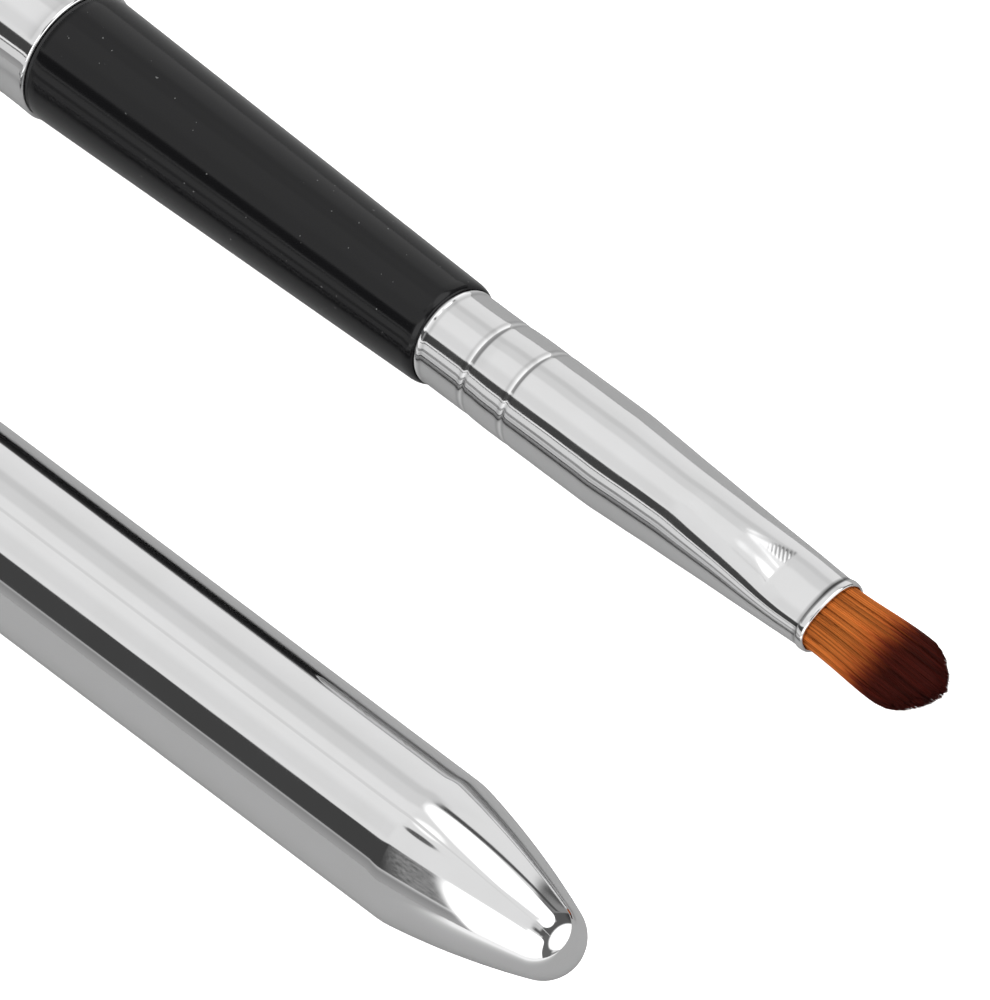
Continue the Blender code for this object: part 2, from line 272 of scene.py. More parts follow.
def noise(tree, scale, stretch=(1, 1, 1), detail=4.0):
    """A noise value over the object, squeezed or stretched along its axes."""
    place = node(tree, "ShaderNodeTexCoord")
    mapping = node(tree, "ShaderNodeMapping")
    mapping.inputs["Scale"].default_value = stretch
    texture = node(tree, "ShaderNodeTexNoise")
    texture.inputs["Scale"].default_value = scale
    texture.inputs["Detail"].default_value = detail
    tree.links.new(place.outputs["Object"], mapping.inputs["Vector"])
    tree.links.new(mapping.outputs["Vector"], texture.inputs["Vector"])
    return texture.outputs["Fac"]


def ranged(tree, value, low, high):
    """A noise value, which mostly lies between 0.3 and 0.7, mapped to low and high."""
    return map_range(tree, value, 0.3, 0.7, low, high)


def ramp(tree, value, stops):
    made = node(tree, "ShaderNodeValToRGB")
    elements = made.color_ramp.elements
    while len(elements) < len(stops):
        elements.new(0.5)
    for element, (place, colour) in zip(elements, stops):
        element.position = place
        element.color = (*colour, 1.0)
    tree.links.new(value, made.inputs["Fac"])
    return made.outputs["Color"]


def bump(tree, shader, value, strength, distance):
    made = node(tree, "ShaderNodeBump")
    made.inputs["Strength"].default_value = strength
    made.inputs["Distance"].default_value = distance
    tree.links.new(value, made.inputs["Height"])
    tree.links.new(made.outputs["Normal"], shader.inputs["Normal"])


def chrome(name, level, rough_low, rough_high, with_painted_light=False):
    """Polished chrome plate: fine drawing lines along X and a faint haze. One with painted light is
    brighter or darker by its stored value of painted highlights and painted shade."""
    made, tree, shader = new_material(name)
    shader.inputs["Metallic"].default_value = 1.0
    haze = noise(tree, 260)
    tone = ramp(tree, haze, [(0.3, (level * 0.97,) * 3), (0.7, (level, level, level * 1.005))])
    # painted highlights and painted shade: a stored value scales the plate's colour
    if with_painted_light:
        tone = scaled(tree, tone, math_node(tree, "ADD", attribute(tree, "painted_light_and_shade"), 1.0))
    tree.links.new(tone, shader.inputs["Base Color"])
    tree.links.new(ranged(tree, haze, rough_low, rough_high), shader.inputs["Roughness"])
    lines = noise(tree, 9000, (0.02, 1, 1), detail=2)
    bump(tree, shader, lines, 0.05, 0.004 * MM)
    return made


def lacquer(name):
    """Gloss black lacquer with faint waviness and a few specks of dust."""
    made, tree, shader = new_material(name)
    shader.inputs["Specular IOR Level"].default_value = 0.28
    flecks = noise(tree, 2600, detail=1)
    dust = ramp(tree, flecks, [(0.775, (0.0045, 0.0045, 0.005)), (0.81, (0.14, 0.14, 0.14))])
    tree.links.new(dust, shader.inputs["Base Color"])
    tree.links.new(ranged(tree, noise(tree, 320, (0.4, 1, 1)), 0.10, 0.17), shader.inputs["Roughness"])
    bump(tree, shader, noise(tree, 700, (0.15, 1, 1), detail=1), 0.12, 0.02 * MM)
    return made


def plastic(name, colour, rough_low, rough_high, grain=2500):
    made, tree, shader = new_material(name)
    grains = noise(tree, grain)
    dark = tuple(0.85 * c for c in colour)
    tree.links.new(ramp(tree, grains, [(0.3, dark), (0.7, colour)]), shader.inputs["Base Color"])
    tree.links.new(ranged(tree, grains, rough_low, rough_high), shader.inputs["Roughness"])
    bump(tree, shader, grains, 0.1, 0.01 * MM)
    return made


COLOUR_SHIFT = 0.20  # how much of the tuft's length the filaments' colour changes are spread over


def bristles(name, painted_shade=1.0):
    """Filaments: orange-brown at the root, dark maroon at the tip, each changing at its own place."""
    made, tree, shader = new_material(name)
    tone = attribute(tree, "tone")
    stops = [
        (0.00, (0.44, 0.120, 0.023)),
        (0.22, (0.51, 0.145, 0.028)),
        (0.40, (0.42, 0.100, 0.020)),
        (0.49, (0.16, 0.025, 0.007)),
        (0.58, (0.045, 0.0050, 0.0022)),
        (1.00, (0.034, 0.0032, 0.0018)),
    ]
    # painted shade: a factor below 1 darkens every colour of the ramp
    stops = [(place, tuple(painted_shade * c for c in colour)) for place, colour in stops]
    shifted = math_node(tree, "MULTIPLY_ADD", tone, COLOUR_SHIFT, attribute(tree, "along"))
    place = math_node(tree, "SUBTRACT", shifted, COLOUR_SHIFT / 2)
    strength = map_range(tree, tone, 0.0, 1.0, 0.40, 1.42)
    colour = scaled(tree, ramp(tree, place, stops), strength)
    tree.links.new(colour, shader.inputs["Base Color"])
    shader.inputs["Roughness"].default_value = 0.5
    shader.inputs["Specular IOR Level"].default_value = 0.06
    return made


BARREL_CHROME = chrome("barrel_chrome", 0.72, 0.045, 0.085)
CAP_CHROME = chrome("cap_chrome", 0.72, 0.035, 0.07)
# the ferrule's plate takes painted highlights and painted shade from its mesh
FERRULE_CHROME = chrome("ferrule_chrome", 0.72, 0.05, 0.10, with_painted_light=True)
BLACK_LACQUER = lacquer("black_lacquer")
BLACK_PLASTIC = plastic("black_plastic", (0.012, 0.012, 0.013), 0.35, 0.5)
CORE_PLASTIC = plastic("core_plastic", (0.55, 0.50, 0.42), 0.5, 0.65)
RESIN = plastic("resin", (0.55, 0.36, 0.14), 0.15, 0.3, grain=600)
THREAD = plastic("thread", (0.75, 0.72, 0.65), 0.8, 0.95, grain=6000)
BUSH_PLASTIC = plastic("bush_plastic", (0.80, 0.80, 0.78), 0.4, 0.55)
BRISTLE = bristles("bristle")
# a darker copy for the bundle's middle: painted shade inside the bundle
SHADED_BRISTLE = bristles("bristle_painted_shade", painted_shade=0.45)


# ---------------------------------------------------------------- turned pieces

PLATE_RIPPLE = 0.004 * MM
LACQUER_RIPPLE = 0.006 * MM


def make_barrel():
    bore = BARREL_RADIUS - BARREL_WALL
    edge = 0.2 * MM
    chamfer = 0.05 * MM
    flare_length = 3.2 * MM
    steps = 8
    outside = bullet(TAIL_X, BARREL_RADIUS, -1)
    for k in range(steps + 1):
        share = k / steps
        flare = (LIP_RADIUS - BARREL_RADIUS) * share * share
        outside.append((LIP_X - flare_length + (flare_length - edge) * share, BARREL_RADIUS + flare))
    outside += reversed(arc((LIP_X - edge, LIP_RADIUS - edge), edge, 0, 88, 8))
    inside = [(LIP_X, bore + chamfer), (LIP_X - chamfer, bore)]
    inside += reversed(bullet(TAIL_X, BARREL_RADIUS, -1, BARREL_WALL))
    wave = ripple(3, PLATE_RIPPLE)
    return turned("barrel", outside + inside, BRUSH_AXIS, BARREL_CHROME, wave=wave)


def make_black_ring():
    """The sleeve inside the barrel's lip and the wider ring that shows between the lip and the grip."""
    low, high = span("barrel_sleeve")
    outer = BARREL_RADIUS - BARREL_WALL - FIT_GAP
    ring = 4.76 * MM
    lead, lead_length = 0.3 * MM, 0.5 * MM
    rear = LIP_X + FIT_GAP
    rear_corner, front_corner = 0.04 * MM, 0.06 * MM
    profile = [(low, INNER_BORE), (low, outer - lead), (low + lead_length, outer), (rear, outer)]
    profile += [(rear, ring - rear_corner), (rear + rear_corner, ring)]
    profile += [(high - front_corner, ring), (high, ring - front_corner), (high, INNER_BORE)]
    return turned("black_ring", profile, BRUSH_AXIS, BLACK_PLASTIC, closed_loop=True)


def make_grip():
    edge = FERRULE_RADIUS + 0.06 * MM
    corner = 0.05 * MM
    front_round = 0.95 * MM
    bevel = 0.02 * MM
    seat = GRIP_EDGE_X - 3.5 * MM  # the bottom of the ferrule's socket
    steps = 12
    profile = [(GRIP_REAR_X, INNER_BORE), (GRIP_REAR_X, GRIP_REAR_RADIUS - corner)]
    profile += reversed(arc((GRIP_REAR_X + corner, GRIP_REAR_RADIUS - corner), corner, 90, 180, 4)[:-1])
    start = GRIP_EDGE_X - front_round
    profile += [(start, GRIP_FRONT_RADIUS)]
    for k in range(1, steps + 1):
        turn = 0.5 * math.pi * k / steps
        x = start + (GRIP_EDGE_X - start) * math.sin(turn)
        profile.append((x, edge + (GRIP_FRONT_RADIUS - edge) * math.cos(turn)))
    profile += [(GRIP_EDGE_X - bevel, edge - bevel), (seat, edge - bevel), (seat, INNER_BORE)]
    wave = ripple(5, LACQUER_RIPPLE)
    return turned("grip", profile, BRUSH_AXIS, BLACK_LACQUER, closed_loop=True, wave=wave)


def make_cap():
    bore = CAP_RADIUS - CAP_WALL
    corner = 0.1 * MM
    outside = bullet(CAP_NOSE_X, CAP_RADIUS, 1)
    outside += arc((CAP_MOUTH_X + corner, CAP_RADIUS - corner), corner, 90, 180, 5)
    inside = arc((CAP_MOUTH_X + corner, bore + corner), corner, 180, 270, 5)
    inside += reversed(bullet(CAP_NOSE_X, CAP_RADIUS, 1, CAP_WALL))
    return turned("cap", outside + inside, CAP_AXIS, CAP_CHROME, wave=ripple(11, PLATE_RIPPLE))


def make_bush():
    """The friction bush: a ring whose bore has shallow hollows, with gripping ribs between them."""
    bore = 4.9 * MM
    lead = 0.15 * MM
    margin = 0.5 * MM
    hollows, depth, steps = 3, 0.08 * MM, 24
    profile = [(BUSH_FRONT_X, bore + lead), (BUSH_FRONT_X, BUSH_RADIUS - lead)]
    profile += [(BUSH_FRONT_X + lead, BUSH_RADIUS), (BUSH_BACK_X - lead, BUSH_RADIUS)]
    profile += [(BUSH_BACK_X, BUSH_RADIUS - lead), (BUSH_BACK_X, bore + lead)]
    length = BUSH_BACK_X - BUSH_FRONT_X
    for k in range(steps, -1, -1):
        share = k / steps
        hollow = depth / 2 * (1 - math.cos(2 * math.pi * hollows * share))
        profile.append((BUSH_FRONT_X + margin + (length - 2 * margin) * share, bore + hollow))
    return turned("friction_bush", profile, CAP_AXIS, BUSH_PLASTIC, closed_loop=True)


# ---------------------------------------------------------------- ferrule

CRIMPS = (4.6 * MM, 8.6 * MM)
CRIMP_HALF = 0.25 * MM
CRIMP_DEPTH = 0.032 * MM
# station from the grip's edge and half width, in millimetres: read off a photo and rounded
PROFILE = (
    (-4, 3.58), (4.9, 3.60), (6.2, 3.665), (16.6, 3.69), (22, 3.42), (28, 3.165), (33.5, 2.985),
    (36.6, 2.85), (38, 2.84),
)
ROUNDING = 0.8 * MM  # how far the profile's corners are rounded
PRESSED_SHARE = 0.6  # half thickness over half width at the mouth
# station in millimetres and half thickness over half width there
PRESSING = ((24, 1), (29, 0.84), (33, 0.66), (34.6, PRESSED_SHARE), (38, PRESSED_SHARE))
THIN_WALL_START = 34.0 * MM  # from here to the mouth the wall is as thin as MOUTH_WALL
FERRULE_REAR = -3.3 * MM  # inside the grip
REAR_BEAD = 0.05 * MM  # height of the bead just ahead of the grip's edge
MOUTH_HALF_WIDTH = 2.84 * MM
MOUTH_HALF_THICK = PRESSED_SHARE * MOUTH_HALF_WIDTH
MOUTH_WALL = 0.2 * MM
RIM_LENGTH = 0.75 * MM  # of the bead round the mouth
RIM_STEP = 0.09 * MM  # height of that bead
OVAL_POWER = 2.3  # of the mouth's outline; 2 is an ellipse
DIMPLE_START = FERRULE_LENGTH - 8.2 * MM  # the dimple's point
DIMPLE_STEP = FERRULE_LENGTH - 4.5 * MM  # the step at its wide end
DIMPLE_DEPTH = 0.06 * MM
DIMPLE_HALF_WIDTH = 1.5 * MM
DIMPLE_SIDE = 0.65 * MM  # how far its point lies to the +Y side
CREASE_DEPTH = 0.004 * MM
CREASE_HALF = 0.13 * MM
RIB_DEPTH = 0.006 * MM
RIB_PITCH = 0.34 * MM
RIB_SLANT = 0.8
FERRULE_SIDES = 240
FERRULE_STEP = 0.3 * MM  # between rings where nothing small is pressed in
DIMPLE_RINGS = 90


def smooth(low, high, value):
    """From 0 at low to 1 at high; low may be the larger."""
    share = np.clip((value - low) / (high - low), 0, 1)
    return share * share * (3 - 2 * share)


def peak(value, centre, half):
    """A smooth bump of height 1 at the centre."""
    return np.exp(-((value - centre) / half) ** 2)


def rounded(table, station):
    """The value of a table of stations at a station, with the table's corners rounded."""
    offsets = np.linspace(-ROUNDING, ROUNDING, 9)
    weights = 1 - np.abs(offsets) / (1.25 * ROUNDING)
    stations, values = np.array(table, dtype=float).T
    return np.average(np.interp(station + offsets, stations * MM, values), weights=weights)


def ferrule_radius(station):
    """The ferrule's half width at a station from the grip's edge."""
    radius = rounded(PROFILE, station) * MM
    for centre in CRIMPS:
        radius -= CRIMP_DEPTH * peak(station, centre, CRIMP_HALF)
    return radius + REAR_BEAD * peak(station, 0.25 * MM, 0.2 * MM)


def ferrule_ring(station, inset, wave=None):
    """One ring of the ferrule: round, then squeezed between two flats towards the mouth."""
    width = ferrule_radius(station)
    flatness = rounded(PRESSING, station)
    thick = width * flatness - inset
    width -= inset
    power = 2.0 + (OVAL_POWER - 2.0) * (1 - flatness) / (1 - PRESSED_SHARE)
    turn = np.arange(FERRULE_SIDES) * (2 * math.pi / FERRULE_SIDES)
    y = width * fuller(np.cos(turn), 2 / power)
    z = thick * fuller(np.sin(turn), 2 / power)
    if inset == 0:
        z = z - np.sign(z) * dimple(station, y)
        if wave is not None:
            grow = 1 + wave(station, turn) / width
            y, z = y * grow, z * grow
    x = np.full(FERRULE_SIDES, GRIP_EDGE_X + station)
    return np.stack([x, BRUSH_AXIS[0] + y, BRUSH_AXIS[1] + z], 1)


def dimple_place(station, y):
    """(share of the dimple's length, distance to the +Y side of its middle, half width there)."""
    share = (station - DIMPLE_START) / (DIMPLE_STEP - DIMPLE_START)
    inside = np.clip(share, 0, 1)
    return share, y - DIMPLE_SIDE * (1 - 0.7 * inside), DIMPLE_HALF_WIDTH * inside + 1e-6


def rib(station, y):
    """Depth of the slanting ribs, from 0 to 1."""
    return 0.5 + 0.5 * np.sin(2 * math.pi * (station + RIB_SLANT * y) / RIB_PITCH)


def ribbed_corner(share, side):
    """1 in the dimple's front corner on its +Y side, given its side as a share of its half width."""
    return smooth(0.45, 0.75, share) * smooth(0.15, 0.35, side) * smooth(1.1, 0.9, side)


def dimple(station, y):
    """Depth of the three-cornered crimp mark on each flat: its point is to the rear, its step to the
    front, and a crease runs back from its point and along its +Y side."""
    share, away, reach = dimple_place(station, y)
    hollow = DIMPLE_DEPTH * np.clip(share, 0, 1) ** 2.3 * np.clip(1 - np.abs(away) / reach, 0, 1)
    crease = CREASE_DEPTH * smooth(-1.3, -0.6, share) * peak(away, reach, CREASE_HALF)
    ribs = RIB_DEPTH * ribbed_corner(share, away / reach) * rib(station, y)
    return (1 - smooth(1.0, 1.12, share)) * (hollow + crease + ribs)


CRIMP_SHADE_PLACE = 0.3 * MM  # of the painted shade beside each crimp, from the crimp's middle
# half width of the painted highlight in a crimp and of the painted shade beside it
CRIMP_LINE_HALF = 0.12 * MM


def painted_light_and_shade(station, y, z):
    """Painted light: how much brighter the plate is than on the plain tube, with painted highlights on
    edges and in the dimple, and painted shade beside them, behind the mouth's bead and on the dimple's
    ribbed corner."""
    # painted highlight on the grip's edge, and painted shade just ahead of it
    value = 0.45 * peak(station, 0.24 * MM, 0.13 * MM) - 0.2 * peak(station, 0.6 * MM, 0.14 * MM)
    # painted highlight in each crimp, and painted shade on both sides of it
    for centre in CRIMPS:
        value += 0.42 * peak(station, centre, CRIMP_LINE_HALF)
        value -= 0.22 * peak(station, centre + CRIMP_SHADE_PLACE, CRIMP_LINE_HALF)
        value -= 0.20 * peak(station, centre - CRIMP_SHADE_PLACE, CRIMP_LINE_HALF)
    share, away, reach = dimple_place(station, y)
    flat = smooth(0.6 * MM, 1.2 * MM, np.abs(z)) * (share > 0) * (1 - smooth(0.97, 1.04, share))
    middle = np.clip(2.5 * (1 - np.abs(away + 0.3 * MM) / reach), 0, 1)
    # painted highlight in the dimple's middle, and painted shade on its ribbed corner
    value += 0.12 * flat * smooth(0.4, 0.8, share) * middle
    value -= flat * ribbed_corner(share, away / reach) * (0.25 + 0.35 * rib(station, y))
    # painted shade just behind the bead round the mouth, darker towards +Y
    rim_shade = 0.5 + 0.6 * smooth(-1.5 * MM, 1.5 * MM, y)
    value -= rim_shade * peak(station, FERRULE_LENGTH - RIM_LENGTH + 0.04 * MM, 0.13 * MM)
    return np.maximum(value, -0.95)


def mark(made, name, values):
    """Stores one value per vertex for a material to read."""
    layer = made.data.attributes.new(name, "FLOAT", "POINT")
    layer.data.foreach_set("value", np.asarray(values, dtype=float))


def ferrule_stations():
    """Stations of the outside's rings, closer together at the crimps, the dimple and the rear bead."""
    stations = list(np.arange(FERRULE_REAR, FERRULE_LENGTH - RIM_LENGTH, FERRULE_STEP))
    for centre in CRIMPS:
        stations += list(np.linspace(centre - 2.5 * CRIMP_HALF, centre + 2.5 * CRIMP_HALF, 17))
    stations += list(np.linspace(DIMPLE_START, DIMPLE_STEP + 0.6 * MM, DIMPLE_RINGS))
    stations += list(np.linspace(0, 0.8 * MM, 12))
    return sorted(set(round(s, 7) for s in stations))


def make_ferrule():
    wave = ripple(21, 0.010 * MM, lengths=(3.0, 11.0), lobes=6)
    rings = [ferrule_ring(s, 0, wave) for s in ferrule_stations()]
    rim = FERRULE_LENGTH - RIM_LENGTH
    steps = 8
    for k in range(steps + 1):
        turn = math.pi * k / steps
        rings.append(ferrule_ring(rim + RIM_LENGTH * (1 - math.cos(turn)) / 2, -RIM_STEP * math.sin(turn)))
    rings.append(ferrule_ring(FERRULE_LENGTH, MOUTH_WALL * 0.6))
    inner = list(np.linspace(FERRULE_LENGTH - 0.1 * MM, FERRULE_REAR, 40))
    rings += [ferrule_ring(s, MOUTH_WALL if s > THIN_WALL_START else FERRULE_WALL) for s in inner]
    made = skin("ferrule_tube", rings, FERRULE_CHROME, closed_loop=True)
    places = np.array([v.co for v in made.data.vertices])
    station, y, z = (places - (GRIP_EDGE_X, *BRUSH_AXIS)).T
    # painted highlights and painted shade, stored on each vertex for the plate's colour
    mark(made, "painted_light_and_shade", painted_light_and_shade(station, y, z))
    return made


# ---------------------------------------------------------------- tuft

TUFT_SHOULDER = 6.8 * MM
TUFT_HALF_WIDTH = 2.9 * MM
TIP_PEAK = 0.35 * MM  # how far the tip's highest point lies to the +Y side
ROOT_DEPTH = 2.5 * MM  # how far the filaments are followed into the ferrule
FILAMENTS = 1700
FILAMENT_RADIUS = 0.041 * MM
FILAMENT_SIDES = 5
FILAMENT_RINGS = 12
OUTER_SHARE = 0.72  # of all filaments, those in the bundle's outer layer
OUTER_REACH = 0.86  # where that layer starts, from 0 in the middle to 1 at the outline
INNER_AREA = 0.74  # about OUTER_REACH squared, which spreads the inner ones evenly
BUNDLE_POWER = 0.85  # how full the bundle's section is; 1 is an ellipse
BUNDLE_GAP = 0.06 * MM  # between the bundle and the mouth's wall
CLUMPS = 110  # filaments that their neighbours lean towards
CLUMPING = 0.34
UNEVEN_END = 0.09 * MM
WANDER = 0.022 * MM


def tuft_half_sizes(s):
    """Half width and half thickness of the bundle at a station from the mouth, before the tip rounds."""
    root_width = MOUTH_HALF_WIDTH - MOUTH_WALL - BUNDLE_GAP
    root_thick = MOUTH_HALF_THICK - MOUTH_WALL - BUNDLE_GAP
    spread = smooth(0, TUFT_SHOULDER, s)
    width = root_width + (TUFT_HALF_WIDTH - root_width) * spread
    share = np.clip(s / TUFT_LENGTH, 0, 1)
    thick = root_thick * (1 + 0.05 * np.sin(np.pi * share) - 0.72 * share ** 2)
    return width, thick


def tip_station(y):
    """Where a filament that lies at y from the tuft's middle ends."""
    side = np.where(y < TIP_PEAK, TUFT_HALF_WIDTH + TIP_PEAK, TUFT_HALF_WIDTH - TIP_PEAK) * 1.01
    close = (1 - np.clip(np.abs(y - TIP_PEAK) / side, 0, 1) ** 1.5) ** (1 / 1.7)
    return TUFT_SHOULDER + (TUFT_LENGTH - TUFT_SHOULDER) * close


def make_filaments():
    """The bundle's outer and inner filaments, two meshes. Each filament keeps its share of the section
    along the bundle, but leans towards the nearest clump and wanders a little."""
    rng = np.random.default_rng(17)
    turn = rng.uniform(0, 2 * np.pi, FILAMENTS)
    reach = np.where(rng.random(FILAMENTS) < OUTER_SHARE, rng.uniform(OUTER_REACH, 1.0, FILAMENTS),
                     np.sqrt(rng.uniform(0, INNER_AREA, FILAMENTS)))
    q_y = np.clip(reach * fuller(np.cos(turn), BUNDLE_POWER), -0.995, 0.995)
    q_z = reach * fuller(np.sin(turn), BUNDLE_POWER)
    guides = rng.integers(0, FILAMENTS, CLUMPS)
    away = (q_y[:, None] - q_y[guides]) ** 2 + (q_z[:, None] - q_z[guides]) ** 2
    guide = guides[np.argmin(away, 1)]
    end = tip_station(q_y * TUFT_HALF_WIDTH) - rng.exponential(UNEVEN_END, FILAMENTS) - 0.4 * MM * q_z ** 2
    tone = np.clip(rng.normal(0.5, 0.17, FILAMENTS) + rng.normal(0, 0.17, FILAMENTS)[guide], 0, 1)
    wander = rng.normal(0, WANDER, (FILAMENTS, 2))
    phase = rng.uniform(0, 2 * np.pi, (FILAMENTS, 2))
    share = np.linspace(0, 1, FILAMENT_RINGS) ** 0.8
    s = -ROOT_DEPTH + (end[:, None] + ROOT_DEPTH) * share
    width, thick = tuft_half_sizes(s)
    grow = np.clip(s / TUFT_LENGTH, 0, 1) ** 1.5
    pull = CLUMPING * grow
    follow_y = q_y[:, None] + (q_y[guide] - q_y)[:, None] * pull
    follow_z = q_z[:, None] + (q_z[guide] - q_z)[:, None] * pull
    y = follow_y * width + wander[:, :1] * grow * np.sin(s / (1.6 * MM) + phase[:, :1])
    z = follow_z * thick + wander[:, 1:] * grow * np.sin(s / (1.9 * MM) + phase[:, 1:])
    left = (end[:, None] - s) / (0.9 * MM)
    radius = FILAMENT_RADIUS * (0.35 + 0.65 * np.clip(left, 0, 1) ** 0.7)
    ring = np.arange(FILAMENT_SIDES) * (2 * np.pi / FILAMENT_SIDES)
    points = np.stack([
        np.broadcast_to(MOUTH_X + s[..., None], s.shape + (FILAMENT_SIDES,)),
        BRUSH_AXIS[0] + y[..., None] + radius[..., None] * np.cos(ring),
        BRUSH_AXIS[1] + z[..., None] + radius[..., None] * np.sin(ring),
    ], -1)
    outer = reach >= OUTER_REACH
    return [filament_mesh(name, points[chosen], s[chosen], tone[chosen])
            for name, chosen in (("tuft_outer", outer), ("tuft_inner", ~outer))]


def filament_mesh(name, points, s, tone):
    """All chosen filaments as one mesh: tapered tubes with closed ends."""
    count, rings, sides, _ = points.shape
    verts = points.reshape(-1, 3)
    start = np.arange(count)[:, None] * rings * sides
    row = start[..., None] + np.arange(rings - 1)[:, None] * sides
    k = np.arange(sides)
    after = (k + 1) % sides
    quads = np.stack([row + k, row + sides + k, row + sides + after, row + after], -1)
    faces = quads.reshape(-1, 4).tolist()
    first = (start + k).tolist()
    last = (start + (rings - 1) * sides + k[::-1]).tolist()
    mesh = bpy.data.meshes.new(name)
    mesh.from_pydata(verts.tolist(), [], faces + first + last)
    mesh.shade_smooth()
    mesh.materials.append(BRISTLE)
    made = add_object(name, mesh)
    mark(made, "along", np.repeat((s / TUFT_LENGTH).reshape(-1), sides))
    mark(made, "tone", np.repeat(tone, rings * sides))
    return made


def make_tuft_core():
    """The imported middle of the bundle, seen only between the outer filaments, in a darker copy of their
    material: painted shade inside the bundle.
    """
    share = 0.84  # of the bundle's width and thickness
    length = 0.86 * (TUFT_LENGTH - TUFT_SHOULDER)
    steps = 16
    stations = list(np.linspace(-ROOT_DEPTH, TUFT_SHOULDER, 24))
    stations += [TUFT_SHOULDER + length * math.sin(0.5 * math.pi * k / steps) for k in range(1, steps)]
    turn = np.arange(SIDES) * (2 * math.pi / SIDES)
    rings = []
    for s in stations:
        width, thick = tuft_half_sizes(np.array(s))
        close = 1.0
        if s > TUFT_SHOULDER:
            close = (1 - ((s - TUFT_SHOULDER) / length) ** 1.7) ** (1 / 1.5)
        across = fuller(np.cos(turn), BUNDLE_POWER) * width * share * close
        up = fuller(np.sin(turn), BUNDLE_POWER) * thick * share * close ** 0.6
        rings.append(np.stack([np.full(SIDES, MOUTH_X + s), BRUSH_AXIS[0] + across, BRUSH_AXIS[1] + up], 1))
    rings.append([(MOUTH_X + TUFT_SHOULDER + length, *BRUSH_AXIS)])
    made = skin("tuft_core", rings, SHADED_BRISTLE)
    along = (np.array([v.co.x for v in made.data.vertices]) - MOUTH_X) / TUFT_LENGTH
    mark(made, "along", along)
    mark(made, "tone", np.full(len(along), 0.4))
    return made


# ---------------------------------------------------------------- assembly

def place(piece, body, node_name, slot_name):
    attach(piece, body)
    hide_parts(node_name)


def dress(node_name, look):
    """Gives a carried-over CAD node its material."""
    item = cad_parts[node_name]
    item.data.materials.clear()
    item.data.materials.append(look)


place(make_barrel(), "brush", "barrel_tube", "barrel_chrome")
place(make_black_ring(), "brush", "barrel_sleeve", "black_plastic")
place(make_grip(), "brush", "grip_shell", "black_lacquer")
place(make_ferrule(), "brush", "ferrule", "ferrule_chrome")
for tuft_piece in make_filaments():
    place(tuft_piece, "brush", "bristle_tuft", "bristle")
place(make_tuft_core(), "brush", "bristle_tuft", "bristle")
place(make_cap(), "cap", "cap_shell", "cap_chrome")
place(make_bush(), "cap", "cap_friction_bush", "bush_plastic")
dress("handle_core", CORE_PLASTIC)
dress("ferrule_resin", RESIN)
dress("root_thread", THREAD)


# ---------------------------------------------------------------- floor, light and camera

FLOOR_LEVEL = 0.92
FLOOR_LIFT = 0.8  # the floor is lit beyond white, so that only the closest contact shades it
MIRRORED_FLOOR = 0.42  # its level in mirrors
MIRRORED_PATCH = 0.57  # how much more in the painted pool of light where the second soft box lights it


def sheet(name, corners):
    """A flat sheet with a matt material whose glow is white."""
    mesh = bpy.data.meshes.new(name)
    mesh.from_pydata(corners, [], [(0, 1, 2, 3)])
    look, tree, shader = new_material(name)
    shader.inputs["Specular IOR Level"].default_value = 0.0
    shader.inputs["Emission Color"].default_value = (1, 1, 1, 1)
    mesh.materials.append(look)
    return add_object(name, mesh), tree, shader


def lit_patch(tree):
    """How pale the floor looks in mirrors: grey, and white in a painted pool of light where the second soft
    box lights it, on the cap's near side and away from its straight stretch."""
    place = node(tree, "ShaderNodeTexCoord")
    split = node(tree, "ShaderNodeSeparateXYZ")
    tree.links.new(place.outputs["Object"], split.inputs["Vector"])
    aside = math_node(tree, "MULTIPLY_ADD", split.outputs["Y"], -1.0, CAP_AXIS[0])
    ahead = math_node(tree, "MULTIPLY_ADD", aside, 0.2, split.outputs["X"])
    near_side = map_range(tree, aside, 10 * MM, 80 * MM, kind="SMOOTHSTEP")
    at_nose = map_range(tree, ahead, CAP_NOSE_X - 16 * MM, CAP_NOSE_X - 4 * MM, kind="SMOOTHSTEP")
    patch = math_node(tree, "MULTIPLY", near_side, at_nose)
    return math_node(tree, "MULTIPLY_ADD", patch, MIRRORED_PATCH, MIRRORED_FLOOR)


def make_floor():
    half = 4.5
    corners = [(-half, -half, 0), (half, -half, 0), (half, half, 0), (-half, half, 0)]
    made, tree, shader = sheet("floor", corners)
    shader.inputs["Roughness"].default_value = 0.9
    rays = node(tree, "ShaderNodeLightPath").outputs
    pale = map_range(tree, rays["Is Glossy Ray"], 0.0, 1.0, FLOOR_LEVEL, lit_patch(tree))
    tree.links.new(pale, shader.inputs["Base Color"])
    lift = math_node(tree, "MULTIPLY", rays["Is Camera Ray"], FLOOR_LIFT)
    tree.links.new(lift, shader.inputs["Emission Strength"])


# The studio round the object. A direction is told by its turn about the X axis, in degrees from straight
# up towards -Y, and by its lean towards +X, from -1 to 1. TENT is the brightness of the tent by turn.
# Its levels and the places of the patches below were read off the chrome in a photo, rounded, and then
# moved.
TENT = [
    (-180, 0.55), (-150, 0.80), (-144, 0.62), (-132, 0.53), (-106, 0.54), (-97, 1.0), (-78, 1.0),
    (-55, 0.95), (-49, 0.78), (-42, 0.78), (-37, 0.87), (-24, 0.88), (-20, 1.03), (8, 1.04), (18, 0.93),
    (32, 0.93), (38, 1.0), (72, 1.0), (75, 0.50), (77, 0.32), (90, 0.46), (104, 0.50), (150, 0.48),
    (158, 0.42), (169, 0.75), (180, 0.6),
]
WHITE = 1.9
DARK = 0.07
LEVEL_TOP = 2.0  # colours hold levels as shares of this, and the world's strength is this
WORLD_TO_CAMERA = 0.75  # the share that the camera sees, beyond white


def grey(share):
    return (share, share, share, 1)


